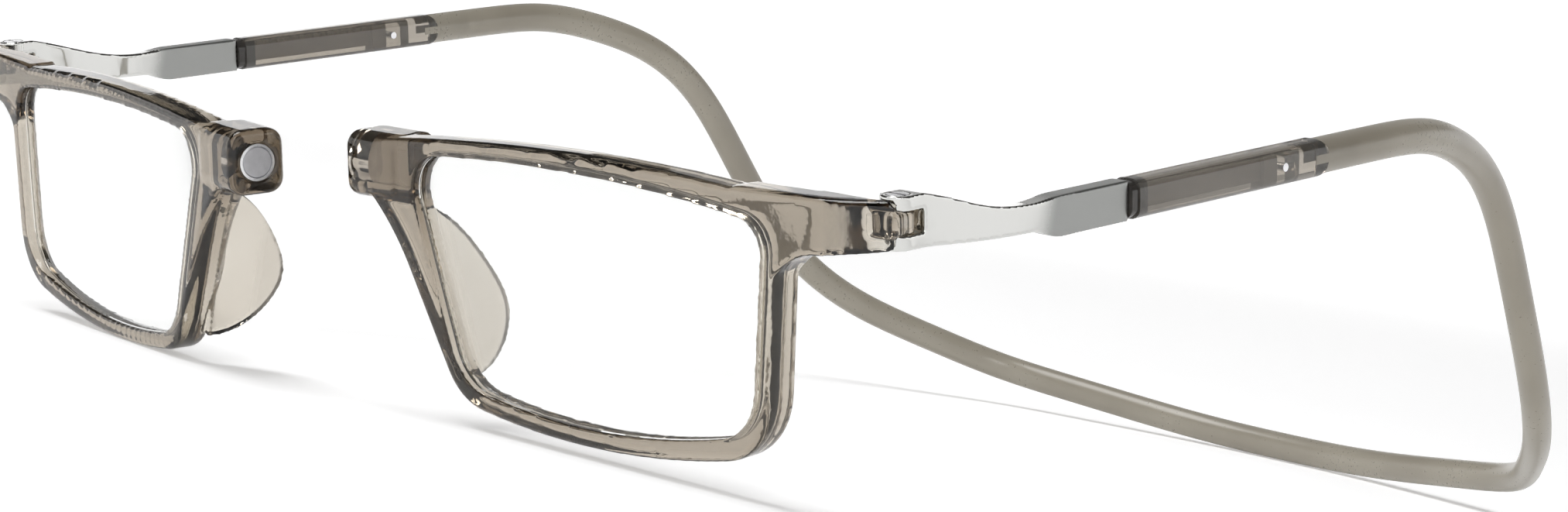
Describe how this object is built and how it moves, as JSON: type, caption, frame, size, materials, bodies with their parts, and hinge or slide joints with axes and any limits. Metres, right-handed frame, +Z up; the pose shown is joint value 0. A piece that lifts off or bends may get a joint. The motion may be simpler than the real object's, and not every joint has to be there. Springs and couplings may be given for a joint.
{
  "type": "folding reading glasses",
  "caption": "Reading glasses that part at the bridge: two half fronts held by magnets, hinged to telescoping temples on one springy band that wraps round the neck.",
  "frame": {"origin": "middle of the glasses' footprint, on the surface they stand on", "axes": "+X to the wearer's left, +Y from the front towards the neckband, +Z up from the surface"},
  "size_m": [0.135, 0.1692, 0.0428],
  "materials": {
    "clear_frame": "clear smoke-brown moulding, polished",
    "lens": "clear hard-coated lens",
    "plated_cup": "bright nickel plate",
    "magnet": "satin nickel-plated magnet",
    "screw": "bright machined steel",
    "temple_metal": "polished at the fork, satin on the wide end",
    "rack": "dark smoke strip with fine notches",
    "collar": "dark gloss bush",
    "clear_sleeve": "clear smoke-brown tube",
    "neckband": "satin translucent taupe moulding"
  },
  "bodies": {
    "band_left": {"neckband_left": "neckband", "sleeve_left": "clear_sleeve", "collar_left": "collar", "stop_pin_left": "screw"},
    "temple_left": {"temple_bar_left": "temple_metal", "slide_rack_left": "rack", "hinge_screw_left": "screw"},
    "front_left": {"lens_frame_left": "clear_frame", "lens_left": "lens", "magnet_left": "magnet", "magnet_cup_left": "plated_cup"},
    "band_right": {"neckband_right": "neckband", "sleeve_right": "clear_sleeve", "collar_right": "collar", "stop_pin_right": "screw"},
    "temple_right": {"temple_bar_right": "temple_metal", "slide_rack_right": "rack", "hinge_screw_right": "screw"},
    "front_right": {"lens_frame_right": "clear_frame", "lens_right": "lens", "magnet_right": "magnet", "magnet_cup_right": "plated_cup"}
  },
  "joints": [
    {"name": "band_flex", "type": "hinge", "parent": "band_left", "child": "band_right", "pos_m": [0.00013, 0.08302, 0.00185], "axis": [0, 0.2392, -0.971], "range_deg": [-1.5, 40], "stiffness_Nm_per_rad": 0.05},
    {"name": "temple_slide_left", "type": "slide", "parent": "band_left", "child": "temple_left", "axis": [0.0087, -0.9709, -0.2392], "range_m": [0, 0.0168]},
    {"name": "front_hinge_left", "type": "hinge", "parent": "temple_left", "child": "front_left", "pos_m": [0.06592, -0.06965, 0.02541], "axis": [0, -0.2392, 0.971], "range_deg": [-87.6, 11.4]},
    {"name": "temple_slide_right", "type": "slide", "parent": "band_right", "child": "temple_right", "axis": [-0.0087, -0.9709, -0.2392], "range_m": [0, 0.0168]},
    {"name": "front_hinge_right", "type": "hinge", "parent": "temple_right", "child": "front_right", "pos_m": [-0.06567, -0.06965, 0.02541], "axis": [0, 0.2392, -0.971], "range_deg": [-95, 4]}
  ]
}
